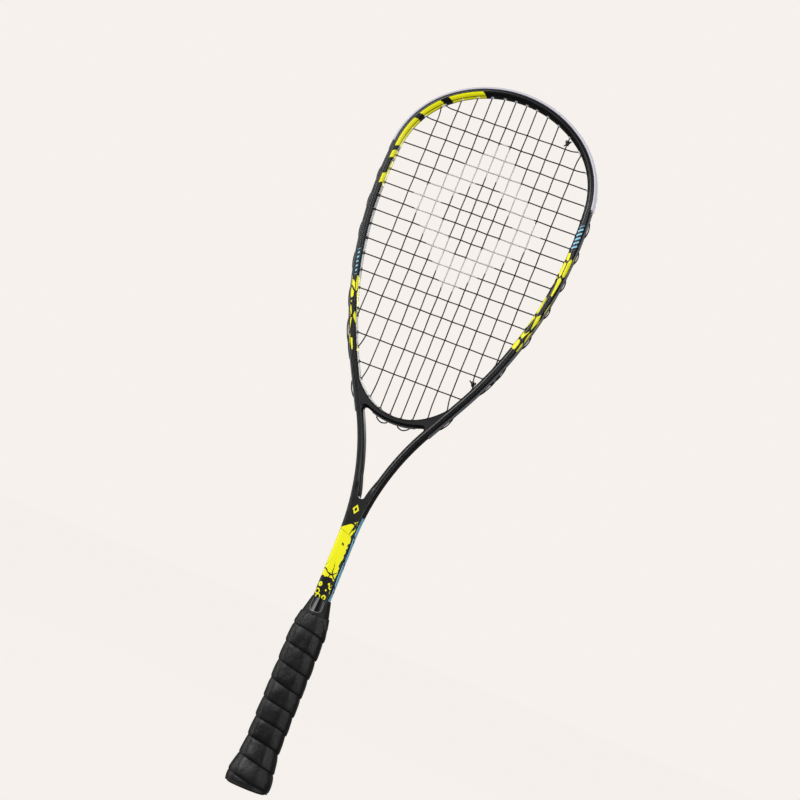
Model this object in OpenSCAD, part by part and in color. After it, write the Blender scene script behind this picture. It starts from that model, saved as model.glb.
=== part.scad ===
// Open-throat squash racket, strung with one length of string.
// +Z runs up the shaft from the butt, +X across the face, the front looks towards -Y.
// The origin is the middle of the butt's end face.

/* [Overall] */
// Length over the bumper, butt to tip
racket_length = 686; // [680:1:686]
// Depth of the frame tube, front to back
beam_depth = 18; // [16:0.5:20]
// Thickness of the frame tube across its own line
tube_t = 7; // [6.5:0.1:8]
// Wall of the moulded tube
tube_wall = 1.1; // [0.8:0.1:1.3]

/* [Throat and hoop] */
// Half the spacing of the two legs in the shaft
leg_x = 4.3; // [4:0.1:5]
// Radius of the curve that leads each leg outwards
throat_r = 238; // [225:1:250]
// Angle that the arms lean out by
throat_angle = 28.2; // [27:0.1:29]
// Straight stretch of each arm
arm_straight = 41.5; // [35:0.5:45]
// Radius of the hoop's sides
side_r = 374; // [355:1:380]
// Angle that the hoop's sides turn through
side_angle = 33.3; // [32.5:0.1:34]
// Radius of the tighter curve at each shoulder of the crown
shoulder_r = 80; // [78:1:84]
// Angle on the crown where the shoulders give way to the flatter top
shoulder_to = 53; // [51:1:55]
// Height of the bottom of the slot between the arms
slot_z = 282.5; // [280:0.5:286]
// Width of the slot at its rounded bottom
slot_w = 5.4; // [5:0.1:6]

/* [Bridge] */
// Height of the bridge's upper edge in the middle
bridge_z = 361; // [359:0.5:363]
// Thickness of the bridge in the middle
bridge_t = 6; // [5.5:0.1:7]
// Depth of the bridge, front to back
bridge_depth = 15.6; // [14:0.1:17]

/* [Stringing] */
// Thickness of the string
string_d = 1.2; // [1.1:0.05:1.3]
// Number of main strings
mains = 12; // [12:2:12]
// Number of cross strings
crosses = 17; // [17:1:17]
// Height of the top cross
top_cross_z = 651.4; // [650:0.1:653]
// Closest spacing of the crosses
cross_gap = 13.57; // [13.5:0.01:13.6]
// Outside diameter of a grommet barrel
barrel_d = 2.8; // [2.6:0.1:3]
// Bore of a grommet barrel
barrel_bore = 1.6; // [1.4:0.1:1.8]

/* [Handle] */
// Width of the wrapped grip
grip_w = 31.6; // [30:0.2:33]
// Depth of the wrapped grip
grip_d = 27.6; // [26:0.2:29]
// Thickness of the wrap
wrap_t = 1.7; // [1.4:0.1:2]
// Width of the flared butt
butt_w = 41; // [39:0.5:43]
// Depth of the flared butt
butt_d = 37; // [35:0.5:39]
// Height where the wrap ends and the collar begins
collar_z = 167; // [165:1:169]
// Height of the collar's upper lip
collar_top = 183; // [181:1:185]

/* [Hidden] */

fine = 720;
lap = 0.02;
half_t = tube_t / 2;
half_b = beam_depth / 2;
bumper_t = 2.2;
groove_depth = 1;
groove_w = 4;
// the string runs on the floor of the strips, outside the tube
strip_floor = half_t + 0.6;
string_line = strip_floor + string_d / 2 + 0.05;

// the line of the tube: leg, reverse curve, straight, side arc, shoulder arc, top arc
crown_from = side_angle - throat_angle;
curve_end_x = leg_x + throat_r * (1 - cos(throat_angle));
arm_end_x = curve_end_x + arm_straight * sin(throat_angle);
side_end_x = arm_end_x - side_r * cos(throat_angle) + side_r * cos(crown_from);
shoulder_cx = side_end_x - shoulder_r * cos(crown_from);
crown_r = shoulder_r + shoulder_cx / cos(shoulder_to);
crown_z = racket_length - bumper_t - half_t - crown_r;
shoulder_cz = crown_z + (crown_r - shoulder_r) * sin(shoulder_to);
side_end_z = shoulder_cz + shoulder_r * sin(crown_from);
side_cx = arm_end_x - side_r * cos(throat_angle);
side_cz = side_end_z - side_r * sin(crown_from);
arm_end_z = side_cz - side_r * sin(throat_angle);
curve_end_z = arm_end_z - arm_straight * cos(throat_angle);
curve_z = curve_end_z - throat_r * sin(throat_angle);
leg_from = 14;

// the bridge's upper edge is the foot of an ellipse, its lower edge a wider one
bridge_a = 74;
bridge_h = 120;
bridge_low_r = 72;
function bridge_up_z(x) = bridge_z + bridge_h * (1 - sqrt(1 - pow(x / bridge_a, 2)));
function bridge_low_z(x) = bridge_z - bridge_t + bridge_low_r - sqrt(pow(bridge_low_r, 2) - x * x);

// outward lean at the foot of each main, from the middle main to the side one
main_lean = [0, 0, 1, 2.5, 3, 0];
function main_x(i) = 5.4 + 10.2 * i + 0.49 * i * i;
// crosses are closest above the middle and open up towards the throat
function cross_step(k) = cross_gap + 0.06 * pow(k - 6.5, 2) + 0.0013 * pow(max(k - 6.5, 0), 4);
function cross_z(k) = k == 0 ? top_cross_z : cross_z(k - 1) - cross_step(k - 1);

// holes on the right half as [x, z, angle]: the inner mouth and the way the hole leads out
// a point of the crown that faces outwards at an angle, a distance outside the tube's line
function crown_point(a, out) =
    a < shoulder_to ? [shoulder_cx + (shoulder_r + out) * cos(a), shoulder_cz + (shoulder_r + out) * sin(a)]
    : a > 180 - shoulder_to ? crown_point(180 - a, out) - [2 * crown_point(180 - a, out)[0], 0]
    : [(crown_r + out) * cos(a), crown_z + (crown_r + out) * sin(a)];
function crown_hole(a) = [each crown_point(a, -half_t), a];
top_in = crown_r - half_t;
shoulder_in = shoulder_r - half_t;
side_in = side_r - half_t;
function side_hole(a) = [side_cx + side_in * cos(a), side_cz + side_in * sin(a), a];
function main_top(i) = crown_hole(main_x(i) < top_in * cos(shoulder_to) ? acos(main_x(i) / top_in)
    : acos((main_x(i) - shoulder_cx) / shoulder_in));
function foot_x(i) = main_x(i) + main_lean[i];
function main_foot(i) = i < 2 ? [foot_x(i), bridge_up_z(foot_x(i)), -90]
    : i < 4 ? [foot_x(i), bridge_up_z(foot_x(i)), -throat_angle]
    : side_hole(-acos((foot_x(i) - side_cx) / side_in));
function cross_end(k) = let (z = cross_z(k))
    z > crown_z + top_in * sin(shoulder_to) ? crown_hole(asin((z - crown_z) / top_in))
    : z > shoulder_cz + shoulder_in * sin(crown_from) ? crown_hole(asin((z - shoulder_cz) / shoulder_in))
    : side_hole(asin((z - side_cz) / side_in));

// distance from a mouth to the tube's outer face along the hole
arm_out_c = curve_end_x * cos(throat_angle) - curve_end_z * sin(throat_angle) + half_t;
function depth_at(h, foot) = !foot ? tube_t
    : h[2] == -90 ? h[1] - bridge_low_z(h[0])
    : h[2] == -throat_angle ? arm_out_c - h[0] * cos(throat_angle) + h[1] * sin(throat_angle)
    : tube_t;

foot_holes = [for (i = [0:mains / 2 - 1]) main_foot(i)];
top_holes = [for (i = [0:mains / 2 - 1]) main_top(i)];
cross_holes = [for (k = [0:crosses - 1]) cross_end(k)];

// section of the tube as [across, front to back]; across grows outwards from the hoop
tube_section = [[-half_t, -5.4], [-2.3, -8.2], [-1.2, -half_b], [1.2, -half_b], [2.3, -8.2],
    [half_t, -5.4], [half_t, -groove_w / 2], [half_t - groove_depth, -groove_w / 2],
    [half_t - groove_depth, groove_w / 2], [half_t, groove_w / 2], [half_t, 5.4], [2.3, 8.2],
    [1.2, half_b], [-1.2, half_b], [-2.3, 8.2], [-half_t, 5.4]];
bore_r = half_t - tube_wall;
bore_section = [[-bore_r, -5], [-1, -7.6], [1, -7.6], [bore_r, -5], [bore_r, -3.2],
    [bore_r - groove_depth, -2.6], [bore_r - groove_depth, 2.6], [bore_r, 3.2], [bore_r, 5],
    [1, 7.6], [-1, 7.6], [-bore_r, 5]];
strip_section = [[half_t - 0.9, -1.9], [half_t + 0.05, -1.9], [half_t + 0.05, -3],
    [half_t + 0.9, -2.6], [half_t + 1.3, -1.9], [half_t + 1.3, -1.1], [strip_floor, -0.9],
    [strip_floor, 0.9], [half_t + 1.3, 1.1], [half_t + 1.3, 1.9], [half_t + 0.9, 2.6],
    [half_t + 0.05, 3], [half_t + 0.05, 1.9], [half_t - 0.9, 1.9]];
bumper_section = [[half_t - 0.9, -1.9], [half_t + 0.05, -1.9], [half_t + 0.05, -5.4],
    [2.9, -7.1], [3.9, -7.5], [half_t + 1.5, -5.2], [half_t + bumper_t, -3],
    [half_t + bumper_t, -1.4], [strip_floor, -0.9], [strip_floor, 0.9],
    [half_t + bumper_t, 1.4], [half_t + bumper_t, 3], [half_t + 1.5, 5.2], [3.9, 7.5],
    [2.9, 7.1], [half_t + 0.05, 5.4], [half_t + 0.05, 1.9], [half_t - 0.9, 1.9]];

function shift(section, by) = [for (p = section) [p[0] + by, p[1]]];

// stands a shape drawn in the XY plane up into the racket's XZ plane
module stand() { rotate([90, 0, 0]) children(); }
module both_sides() { children(); mirror([1, 0, 0]) children(); }

module side_sweep(section, from, to) {
    stand() translate([side_cx, side_cz, 0]) rotate(from)
        rotate_extrude(angle = to - from, $fn = fine) polygon(shift(section, side_r));
}
// a straight stretch that starts at [x, z] and leans outwards by an angle
module straight_sweep(section, x, z, lean, length) {
    translate([x, 0, z]) rotate([0, lean, 0]) linear_extrude(length) polygon(section);
}
// the tube's own line, from the right leg over the crown to the left leg: [x, z, lean]
curve_steps = 9;
side_steps = 11;
shoulder_steps = 10;
top_steps = 16;
right_line = concat([[leg_x, leg_from, 0]],
    [for (i = [0:curve_steps]) let (a = throat_angle * i / curve_steps)
        [leg_x + throat_r * (1 - cos(a)), curve_z + throat_r * sin(a), a]],
    [for (i = [0:side_steps]) let (a = throat_angle - side_angle * i / side_steps)
        [side_cx + side_r * cos(a), side_cz - side_r * sin(a), a]]);
// stations round the crown, with a station at each change of radius; split makes each step finer
function spread(from, to, steps) = [for (i = [0:steps - 1]) from + (to - from) * i / steps];
function crown_stations(from, split) = [for (a = concat(spread(from, shoulder_to, split * shoulder_steps),
    spread(shoulder_to, 180 - shoulder_to, split * top_steps),
    spread(180 - shoulder_to, 180 - from, split * shoulder_steps), [180 - from])) [each crown_point(a, 0), -a]];
whole_crown = crown_stations(crown_from, 1);
crown_line = [for (i = [1:len(whole_crown) - 2]) whole_crown[i]];
left_line = [for (i = [len(right_line) - 1:-1:0]) let (p = right_line[i]) [-p[0], p[1], -180 - p[2]]];

// carries a section along a line of stations as one closed solid
module swept(line, section) {
    n = len(section);
    m = len(line);
    points = [for (p = line, q = section) [p[0] + q[0] * cos(p[2]), q[1], p[1] - q[0] * sin(p[2])]];
    skin = [for (i = [0:m - 2], k = [0:n - 1])
        [(i + 1) * n + k, (i + 1) * n + (k + 1) % n, i * n + (k + 1) % n, i * n + k]];
    ends = [[for (k = [0:n - 1]) k], [for (k = [n - 1:-1:0]) (m - 1) * n + k]];
    polyhedron(points, concat(skin, ends));
}
// short is how far this section stops above the legs' lower ends
module tube_line(section, short = 0) {
    start = [right_line[0] + [0, short, 0]];
    finish = [left_line[len(left_line) - 1] + [0, short, 0]];
    right = concat(start, [for (i = [1:len(right_line) - 1]) right_line[i]]);
    left = concat([for (i = [0:len(left_line) - 2]) left_line[i]], finish);
    swept(concat(right, crown_line, left), section);
}

// a rod along a hole, from before its mouth to past its far end
module hole_rod(h, from, to, d) {
    translate([h[0], 0, h[1]]) rotate([0, 90 - h[2], 0])
        translate([0, 0, from]) cylinder(h = to - from, d = d, $fn = 24);
}
module rods(holes, foot, from, past, d) {
    for (h = holes) hole_rod(h, from, depth_at(h, foot) + past, d);
}

// fill between the legs below the slot, with the slot's round bottom
module shaft_web() {
    web_w = 2 * leg_x - 2;
    web_d = beam_depth - 1.6;
    difference() {
        translate([-web_w / 2, -web_d / 2, leg_from + 1]) cube([web_w, web_d, slot_z - leg_from - 1]);
        translate([0, 0, slot_z]) stand() cylinder(h = 30, d = slot_w, center = true, $fn = 48);
    }
}

module frame_tube() {
    color("#1b1c1e") difference() {
        union() {
            tube_line(tube_section);
            shaft_web();
        }
        tube_line(bore_section, tube_wall);
        both_sides() {
            rods(top_holes, false, -2, 2, barrel_d + 0.2);
            rods(cross_holes, false, -2, 2, barrel_d + 0.2);
            rods([for (i = [2:5]) foot_holes[i]], true, -2, 2, barrel_d + 0.2);
        }
    }
}

// the yoke that closes the hoop, moulded between the arms
module throat_bridge() {
    steps = 24;
    reach = 54;
    xs = [for (i = [0:steps]) reach * (2 * i / steps - 1)];
    low = [for (x = xs) [x, bridge_low_z(x)]];
    up = [for (i = [steps:-1:0]) [xs[i], bridge_up_z(xs[i])]];
    color("#1b1c1e") difference() {
        stand() linear_extrude(bridge_depth, center = true) polygon(concat(low, up));
        arms_room();
        both_sides() rods([for (i = [0:3]) foot_holes[i]], true, -2, 3, barrel_d + 0.2);
    }
}
// everything outside the arms' inner skin
module arms_room() {
    reach = 40;
    skin = [[-half_t, -10], [reach, -10], [reach, 10], [-half_t, 10]];
    both_sides() swept([for (i = [4:len(right_line) - 5]) right_line[i]], skin);
}

module barrels(holes, foot) { rods(holes, foot, -0.9, -0.5, barrel_d); }
module bores(holes, foot) { rods(holes, foot, -2, 4, barrel_bore); }

module bumper_guard() {
    holes = concat(top_holes, [for (h = cross_holes) if (h[2] > crown_from) h]);
    color("#d9d6e6") difference() {
        union() {
            swept(crown_stations(crown_from + 0.2, 3), bumper_section);
            both_sides() barrels(holes, false);
        }
        both_sides() bores(holes, false);
    }
}

module grommet_strip_right() {
    sides = [for (h = cross_holes) if (h[2] <= crown_from) h];
    feet = [for (i = [2:5]) foot_holes[i]];
    color("#c9cbd2") difference() {
        union() {
            side_sweep(strip_section, -throat_angle - lap, crown_from - 0.2);
            straight_sweep(strip_section, curve_end_x, curve_end_z, throat_angle, arm_straight);
            barrels(sides, false);
            barrels(feet, true);
        }
        bores(sides, false);
        bores(feet, true);
    }
}
module grommet_strip_left() { mirror([1, 0, 0]) grommet_strip_right(); }

module bridge_grommet_strip() {
    steps = 8;
    reach = 21;
    t = 0.8;
    xs = [for (i = [0:steps]) reach * (2 * i / steps - 1)];
    up = [for (x = xs) [x, bridge_low_z(x)]];
    low = [for (i = [steps:-1:0]) [xs[i], bridge_low_z(xs[i]) - t]];
    feet = [for (i = [0:1]) foot_holes[i]];
    color("#c9cbd2") difference() {
        union() {
            stand() linear_extrude(6, center = true) polygon(concat(low, up));
            both_sides() rods(feet, true, -0.9, 0.1, barrel_d);
        }
        both_sides() bores(feet, true);
    }
}

// the string's route, worked out hole by hole
main_y = -(string_d / 2 + 0.05);
cross_y = -main_y;
function place(h, along, side, y) = [side * (h[0] + along * cos(h[2])), y, h[1] + along * sin(h[2])];
function outside(h, foot) = depth_at(h, foot) + string_line - half_t;
bridge_out = string_d / 2 + 1.2;
function out_at(h, foot) = (foot && h[2] == -90) ? depth_at(h, foot) + bridge_out : outside(h, foot);
function main_pass(j) = let (i = j < 6 ? 5 - j : j - 6, side = j < 6 ? 1 : -1,
    t = top_holes[i], f = foot_holes[i])
    [place(t, out_at(t, false), side, 0), place(t, 0, side, main_y / 2),
     [side * t[0], main_y, t[1] - 4], [side * main_x(i), main_y, f[1] + 14],
     place(f, 0, side, main_y / 2), place(f, out_at(f, true), side, 0)];
function cross_pass(k) = let (h = cross_holes[k])
    [place(h, out_at(h, false), -1, 0), place(h, 0, -1, cross_y / 2), [-h[0] + 4, cross_y, h[1]],
     [h[0] - 4, cross_y, h[1]], place(h, 0, 1, cross_y / 2), place(h, out_at(h, false), 1, 0)];
function turned(list, back) = back ? [for (i = [len(list) - 1:-1:0]) list[i]] : list;
route = [for (j = [0:mains - 1]) each turned(main_pass(j), j % 2 == 1),
         for (k = [0:crosses - 1]) each turned(cross_pass(k), k % 2 == 1)];

// sweeps a ring of sides along the route, mitred at each bend
function unit(v) = v / norm(v);
function bend_dir(i) = i == 0 ? unit(route[1] - route[0])
    : i == len(route) - 1 ? unit(route[i] - route[i - 1])
    : unit(unit(route[i] - route[i - 1]) + unit(route[i + 1] - route[i]));
// each ring is square to the bend and stays in step with the racket's front
function ring(i, r, n) = let (d = bend_dir(i), a = [0, 1, 0], b = unit(cross(a, d)), f = unit(cross(d, b)),
    into = i == 0 ? d : unit(route[i] - route[i - 1]),
    grow = 1 / max(0.45, d * into))
    [for (k = [0:n - 1]) route[i] + r * (f * cos(360 * k / n) + grow * b * sin(360 * k / n))];
module string() {
    n = 8;
    m = len(route);
    points = [for (i = [0:m - 1]) each ring(i, string_d / 2, n)];
    sides = [for (i = [0:m - 2], k = [0:n - 1])
        [i * n + k, i * n + (k + 1) % n, (i + 1) * n + (k + 1) % n, (i + 1) * n + k]];
    ends = [[for (k = [n - 1:-1:0]) k], [for (k = [0:n - 1]) (m - 1) * n + k]];
    color("#151515") polyhedron(points, concat(sides, ends));
}

// eight-sided handle slice with narrow corners, thin enough to hull between stations
module slice(w, d, z) {
    c = min(w, d) * 0.26;
    translate([0, 0, z]) linear_extrude(0.02) polygon([[-w / 2, -d / 2 + c], [-w / 2 + c, -d / 2],
        [w / 2 - c, -d / 2], [w / 2, -d / 2 + c], [w / 2, d / 2 - c], [w / 2 - c, d / 2],
        [-w / 2 + c, d / 2], [-w / 2, d / 2 - c]]);
}
module loft(stations) {
    for (i = [0:len(stations) - 2]) hull() {
        slice(stations[i][1], stations[i][2], stations[i][0]);
        slice(stations[i + 1][1], stations[i + 1][2], stations[i + 1][0]);
    }
}
function thinner(stations, by) = [for (s = stations) [s[0], s[1] - 2 * by, s[2] - 2 * by]];

taper_z = 151;
shaft_w = 2 * (leg_x + half_t);
lip_w = shaft_w + 2;
lip_d = beam_depth + 2;
wrap_top_w = 25;
wrap_top_d = 24;
grip_stations = [[2.5, butt_w - 1, butt_d - 1], [12, butt_w, butt_d], [24, grip_w + 4, grip_d + 4],
    [40, grip_w, grip_d], [taper_z, grip_w, grip_d], [collar_z, wrap_top_w, wrap_top_d]];
core_stations = [[4, grip_w - 2 * wrap_t, grip_d - 2 * wrap_t],
    [taper_z, grip_w - 2 * wrap_t, grip_d - 2 * wrap_t],
    [collar_z, wrap_top_w - 2 * wrap_t, wrap_top_d - 2 * wrap_t]];
cap_skirt_z = 38;
cap_stations = [[2.5, butt_w - 1, butt_d - 1], [12, butt_w, butt_d], [24, grip_w + 4, grip_d + 4],
    [cap_skirt_z, grip_w + 0.4, grip_d + 0.4]];

// room for the legs inside the handle
module shaft_room(z, top) {
    translate([-shaft_w / 2 - 0.1, -half_b - 0.1, z]) cube([shaft_w + 0.2, beam_depth + 0.2, top - z]);
}
module pallet() {
    difference() {
        loft(core_stations);
        shaft_room(3, collar_top);
    }
}
module handle_pallet_front() {
    color("#6d6a62") difference() {
        pallet();
        translate([-40, 0, 0]) cube([80, 40, 200]);
    }
}
module handle_pallet_back() {
    color("#6d6a62") difference() {
        pallet();
        translate([-40, -40, 0]) cube([80, 40, 200]);
    }
}

badge_d = 22;
badge_t = 0.8;
module butt_cap() {
    color("#17181a") difference() {
        union() {
            loft(concat([[0, butt_w - 4, butt_d - 4]], [[2.5, butt_w - 1, butt_d - 1]]));
            loft(thinner(cap_stations, wrap_t));
        }
        loft([[4, grip_w - 2 * wrap_t, grip_d - 2 * wrap_t],
            [cap_skirt_z + 1, grip_w - 2 * wrap_t, grip_d - 2 * wrap_t]]);
        translate([0, 0, -0.1]) cylinder(h = badge_t + 0.1, d = badge_d + 0.2, $fn = 96);
    }
}
module butt_badge() { color("#8a8f98") cylinder(h = badge_t, d = badge_d, $fn = 96); }

// a staple lies across a face of the cap's skirt with its legs in the pallet
module staple(face, z) {
    wire = 0.6;
    leg = 6;
    for (x = [-4, 4 - wire]) translate([x, -face, z]) cube([wire, leg, wire]);
    translate([-4, -face, z]) cube([8, wire, wire]);
}
module butt_cap_staples() {
    z = 33;
    skirt_d = grip_d / 2 - wrap_t + 1;
    skirt_w = grip_w / 2 - wrap_t + 1;
    color("#b9bcc2") {
        staple(skirt_d, z);
        rotate(180) staple(skirt_d, z);
        rotate(90) staple(skirt_w, z);
        rotate(-90) staple(skirt_w, z);
    }
}
module grip_tack() {
    color("#b9bcc2") translate([-4, -grip_d / 2 + wrap_t - 0.3, 44]) rotate([-90, 0, 0])
        union() {
            cylinder(h = 5, d = 0.8, $fn = 24);
            cylinder(h = 0.4, d = 3, $fn = 32);
        }
}

module grip_wrap() {
    color("#202123") difference() {
        loft(grip_stations);
        translate([0, 0, -0.03]) loft([for (s = thinner(grip_stations, wrap_t))
            [s[0] == collar_z ? s[0] + 0.2 : s[0], s[1], s[2]]]);
        translate([0, 0, 2]) linear_extrude(0.6) square([butt_w - 2 * wrap_t - 1, butt_d - 2 * wrap_t - 1],
            center = true);
    }
}

tape_t = 0.4;
module finishing_tape() {
    low = collar_z - 9;
    f = (low - taper_z) / (collar_z - taper_z);
    w = grip_w + (wrap_top_w - grip_w) * f;
    d = grip_d + (wrap_top_d - grip_d) * f;
    color("#0f0f10") difference() {
        loft([[low, w + 2 * tape_t, d + 2 * tape_t],
            [collar_z, wrap_top_w + 2 * tape_t, wrap_top_d + 2 * tape_t]]);
        translate([0, 0, -0.1]) loft([[low, w, d], [collar_z + 0.3, wrap_top_w, wrap_top_d]]);
    }
}

module grip_collar() {
    collar_w = wrap_top_w + 2 * tape_t;
    collar_d = wrap_top_d + 2 * tape_t;
    color("#121314") difference() {
        loft([[collar_z, collar_w, collar_d], [collar_top, lip_w, lip_d]]);
        shaft_room(collar_z - 1, collar_top + 1);
    }
}

frame_tube();
throat_bridge();
bumper_guard();
grommet_strip_left();
grommet_strip_right();
bridge_grommet_strip();
string();
handle_pallet_front();
handle_pallet_back();
butt_cap();
butt_cap_staples();
butt_badge();
grip_wrap();
grip_tack();
finishing_tape();
grip_collar();
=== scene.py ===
import math

import bmesh
import bpy
import numpy as np
from mathutils import Matrix, Vector


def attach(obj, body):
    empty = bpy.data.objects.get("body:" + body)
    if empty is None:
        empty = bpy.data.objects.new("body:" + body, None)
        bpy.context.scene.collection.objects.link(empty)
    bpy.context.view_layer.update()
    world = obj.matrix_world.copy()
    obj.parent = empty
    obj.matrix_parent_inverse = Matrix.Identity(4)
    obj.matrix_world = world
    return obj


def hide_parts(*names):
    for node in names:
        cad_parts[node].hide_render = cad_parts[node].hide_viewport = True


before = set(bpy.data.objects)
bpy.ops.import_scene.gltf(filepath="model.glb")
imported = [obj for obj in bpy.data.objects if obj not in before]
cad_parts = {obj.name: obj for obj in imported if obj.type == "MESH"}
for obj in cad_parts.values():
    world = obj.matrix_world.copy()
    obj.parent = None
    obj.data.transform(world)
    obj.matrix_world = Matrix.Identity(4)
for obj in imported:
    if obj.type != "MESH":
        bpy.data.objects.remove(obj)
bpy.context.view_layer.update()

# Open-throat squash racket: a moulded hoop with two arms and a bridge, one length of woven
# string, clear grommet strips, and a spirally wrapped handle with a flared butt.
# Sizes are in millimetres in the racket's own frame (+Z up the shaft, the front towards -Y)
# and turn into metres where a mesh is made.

MM = 0.001
scene = bpy.context.scene

# --- the racket's driving sizes -----------------------------------------------------------
LENGTH = 686
HALF_T = 3.5            # half the tube's thickness across its line
HALF_B = 9.0            # half the beam's depth
BUMPER_T = 2.2
LEG_X = 4.3
LEG_FOOT = 14
THROAT_R, THROAT_ANGLE = 238, 28.2
ARM_STRAIGHT = 41.5
SIDE_R, SIDE_ANGLE = 374, 33.3
SHOULDER_R, SHOULDER_TO = 80, 53    # the crown's tighter curve, up to this angle
SLOT_Z, SLOT_R = 282.5, 2.7
BRIDGE_Z, BRIDGE_T = 361, 6
BRIDGE_UP_X, BRIDGE_UP_Z = 74, 120      # half axes of the upper edge's ellipse
BRIDGE_LOW_R = 72
STRING_R = 0.6
TOP_CROSS_Z, CROSS_GAP = 651.4, 13.57
PITCH = 18              # height of one turn of the wrap
COLLAR_Z, COLLAR_TOP = 167, 183

CROWN_FROM = SIDE_ANGLE - THROAT_ANGLE


def sin(degrees):
    """The sine of an angle in degrees."""
    return math.sin(math.radians(degrees))


def cos(degrees):
    """The cosine of an angle in degrees."""
    return math.cos(math.radians(degrees))


CURVE_END_X = LEG_X + THROAT_R * (1 - cos(THROAT_ANGLE))
ARM_END_X = CURVE_END_X + ARM_STRAIGHT * sin(THROAT_ANGLE)
SIDE_CX = ARM_END_X - SIDE_R * cos(THROAT_ANGLE)
SHOULDER_CX = SIDE_CX + (SIDE_R - SHOULDER_R) * cos(CROWN_FROM)
CROWN_R = SHOULDER_R + SHOULDER_CX / cos(SHOULDER_TO)
CROWN_Z = LENGTH - BUMPER_T - HALF_T - CROWN_R
SHOULDER_CZ = CROWN_Z + (CROWN_R - SHOULDER_R) * sin(SHOULDER_TO)
SIDE_CZ = SHOULDER_CZ + (SHOULDER_R - SIDE_R) * sin(CROWN_FROM)
ARM_END_Z = SIDE_CZ - SIDE_R * sin(THROAT_ANGLE)
CURVE_END_Z = ARM_END_Z - ARM_STRAIGHT * cos(THROAT_ANGLE)
CURVE_Z = CURVE_END_Z - THROAT_R * sin(THROAT_ANGLE)


# --- small makers -------------------------------------------------------------------------
def linear(hex_colour):
    """An sRGB hex colour as the linear values that a shader takes, with a full alpha."""
    parts = [int(hex_colour[i:i + 2], 16) / 255 for i in (1, 3, 5)]
    return [c / 12.92 if c <= 0.04045 else ((c + 0.055) / 1.055) ** 2.4 for c in parts] + [1]


def add(tree, kind, inputs=(), **settings):
    """Adds one node with its settings and links. inputs lists a value, a socket or a node
    for each of the sockets in use, in their order, or maps a socket's name or number to it."""
    node = tree.nodes.new(kind)
    for key, value in settings.items():
        setattr(node, key, value)
    if isinstance(inputs, dict):
        pairs = [(node.inputs[key], value) for key, value in inputs.items()]
    else:
        pairs = zip([socket for socket in node.inputs if socket.enabled], inputs)
    for socket, value in pairs:
        if isinstance(value, bpy.types.Node):
            value = next(output for output in value.outputs if output.enabled)
        if isinstance(value, bpy.types.NodeSocket):
            tree.links.new(value, socket)
        else:
            socket.default_value = value
    return node


def show(name, mesh, material=None):
    """Puts a mesh whose points are already in place into the scene."""
    piece = bpy.data.objects.new(name, mesh)
    scene.collection.objects.link(piece)
    if material:
        mesh.materials.clear()
        mesh.materials.append(material)
    return piece


def mesh_of(name, points, faces):
    """A mesh from points in millimetres."""
    mesh = bpy.data.meshes.new(name)
    mesh.from_pydata((np.asarray(points, float) * MM).tolist(), [], [list(f) for f in faces])
    mesh.update()
    return mesh


def soften(mesh, degrees):
    """Smooth shading, with creases kept where two faces meet at more than an angle."""
    mesh.shade_smooth()
    mesh.set_sharp_from_angle(angle=math.radians(degrees))


def guide(name, points, **values):
    """A line of points for a geometry tree to follow, with a value or a vector for each."""
    edges = [(i, i + 1) for i in range(len(points) - 1)]
    mesh = bpy.data.meshes.new(name)
    mesh.from_pydata((np.asarray(points, float) * MM).tolist(), edges, [])
    for key, given in values.items():
        given = np.asarray(given, np.float32)
        vector = given.ndim == 2
        layer = mesh.attributes.new(key, "FLOAT_VECTOR" if vector else "FLOAT", "POINT")
        layer.data.foreach_set("vector" if vector else "value", given.ravel())
    return mesh


def skin_faces(rings, count):
    """Faces that join rings of points, each to the next, and close the two ends."""
    faces = []
    for start in range(0, (rings - 1) * count, count):
        for j in range(count):
            a, b = start + j, start + (j + 1) % count
            faces.append((a, b, b + count, a + count))
    faces.append(tuple(reversed(range(count))))
    faces.append(tuple(range((rings - 1) * count, rings * count)))
    return faces


def geometry_tree(name, inputs):
    """An empty geometry tree with named inputs; returns it with its input node."""
    tree = bpy.data.node_groups.new(name, "GeometryNodeTree")
    face = tree.interface
    face.new_socket("Geometry", in_out="INPUT", socket_type="NodeSocketGeometry")
    for label, kind, value in inputs:
        socket = face.new_socket(label, in_out="INPUT", socket_type="NodeSocket" + kind)
        if kind != "Material":
            socket.default_value = value
    face.new_socket("Geometry", in_out="OUTPUT", socket_type="NodeSocketGeometry")
    return tree, add(tree, "NodeGroupInput")


def close_tree(tree, given, geometry):
    """Ends a tree in Realize Instances and Set Material."""
    real = add(tree, "GeometryNodeRealizeInstances", {0: geometry})
    done = add(tree, "GeometryNodeSetMaterial", {0: real, "Material": given.outputs["Material"]})
    add(tree, "NodeGroupOutput", {0: done})


def settle(piece, modifier):
    """Keeps what a piece's modifier makes as a plain mesh, and removes the modifier."""
    graph = bpy.context.evaluated_depsgraph_get()
    mesh = bpy.data.meshes.new_from_object(piece.evaluated_get(graph), depsgraph=graph)
    piece.modifiers.remove(modifier)
    piece.data = mesh
    return piece


def grow(name, line, tree, values):
    """Runs a geometry tree on a guide and keeps what it makes as a plain mesh."""
    piece = show(name, line)
    modifier = piece.modifiers.new("grow", "NODES")
    modifier.node_group = tree
    for item in tree.interface.items_tree:
        if item.in_out == "INPUT" and item.name in values:
            modifier[item.identifier] = values[item.name]
    return settle(piece, modifier)


def give(piece, slot, *nodes):
    """Hangs a finished piece on the root and hides the CAD nodes that it stands for. slot, the
    name of its finish, is not used.
    """
    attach(piece, "root")
    if nodes:
        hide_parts(*nodes)
    return piece


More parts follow.
